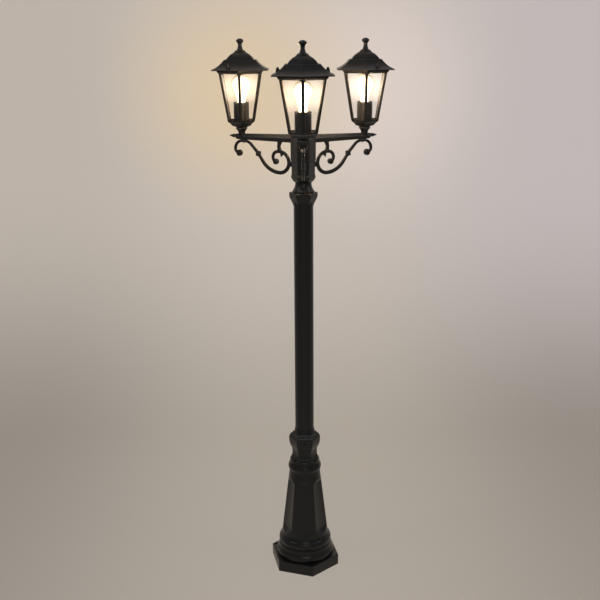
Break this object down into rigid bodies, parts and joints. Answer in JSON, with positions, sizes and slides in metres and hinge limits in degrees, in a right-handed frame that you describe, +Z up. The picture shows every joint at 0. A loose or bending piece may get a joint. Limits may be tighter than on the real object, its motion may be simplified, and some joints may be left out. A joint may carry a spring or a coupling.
{
  "type": "garden lamp post with three lanterns",
  "caption": "Garden lamp post: moulded pedestal on a six-sided foot, round tube and head block with scrolled arms that carry six-sided glazed lanterns with flared lift-off roofs",
  "frame": {"origin": "centre of the anchor hole circle on the underside of the foot plate, at ground level", "axes": "+Z up along the post, the front arm points along -Y, the other arms are 120 degrees either side of it"},
  "size_m": [0.5472, 0.5229, 1.702],
  "materials": {
    "casting_paint": "satin black powder coat on die-cast aluminium",
    "tube_paint": "satin black powder coat on steel tube",
    "pane_glass": "clear flat glass",
    "lamp_glass": "warm lit lamp glass",
    "lamp_cap_metal": "nickel-plated screw cap",
    "holder_plastic": "moulded black lampholder",
    "sleeve_black": "satin black sleeve",
    "screw_steel": "zinc-plated steel",
    "screw_black": "black domed head",
    "grub_steel": "blackened steel",
    "nipple_steel": "zinc-plated hollow steel nipple",
    "terminal_plastic": "cream terminal plastic",
    "lead_plastic": "sheathed wire",
    "cable_plastic": "black sheathed cable"
  },
  "bodies": {
    "post": {"foot_plate": "casting_paint", "pedestal": "casting_paint", "foot_screws": "screw_steel", "pedestal_collar": "casting_paint", "post_tube": "tube_paint", "crown": "casting_paint", "head_block": "casting_paint", "head_cap": "casting_paint", "cap_screw": "screw_black", "grub_screws": "grub_steel", "connector_block": "terminal_plastic", "terminal_block": "terminal_plastic", "riser_cable": "cable_plastic", "arm_nipples": "nipple_steel", "lamp_nipples": "nipple_steel", "bracket_screws": "screw_steel", "lamp_leads": "lead_plastic", "front_arm": "casting_paint", "front_arm_spear": "casting_paint", "front_bracket": "casting_paint", "front_lantern_cup": "casting_paint", "front_lantern_body": "casting_paint", "front_lantern_panes": "pane_glass", "front_lamp_sleeve": "sleeve_black", "front_lampholder": "holder_plastic", "front_lamp_bulb": "lamp_glass", "front_lamp_cap": "lamp_cap_metal", "right_arm": "casting_paint", "right_arm_spear": "casting_paint", "right_bracket": "casting_paint", "right_lantern_cup": "casting_paint", "right_lantern_body": "casting_paint", "right_lantern_panes": "pane_glass", "right_lamp_sleeve": "sleeve_black", "right_lampholder": "holder_plastic", "right_lamp_bulb": "lamp_glass", "right_lamp_cap": "lamp_cap_metal", "left_arm": "casting_paint", "left_arm_spear": "casting_paint", "left_bracket": "casting_paint", "left_lantern_cup": "casting_paint", "left_lantern_body": "casting_paint", "left_lantern_panes": "pane_glass", "left_lamp_sleeve": "sleeve_black", "left_lampholder": "holder_plastic", "left_lamp_bulb": "lamp_glass", "left_lamp_cap": "lamp_cap_metal"},
    "front_roof": {"front_lantern_roof": "casting_paint", "front_finial": "casting_paint", "front_roof_screws": "screw_black"},
    "right_roof": {"right_lantern_roof": "casting_paint", "right_finial": "casting_paint", "right_roof_screws": "screw_black"},
    "left_roof": {"left_lantern_roof": "casting_paint", "left_finial": "casting_paint", "left_roof_screws": "screw_black"}
  },
  "joints": [
    {"name": "front_roof_lift", "type": "slide", "parent": "post", "child": "front_roof", "axis": [0, 0, 1], "range_m": [0, 0.15]},
    {"name": "right_roof_lift", "type": "slide", "parent": "post", "child": "right_roof", "axis": [0, 0, 1], "range_m": [0, 0.15]},
    {"name": "left_roof_lift", "type": "slide", "parent": "post", "child": "left_roof", "axis": [0, 0, 1], "range_m": [0, 0.15]}
  ]
}
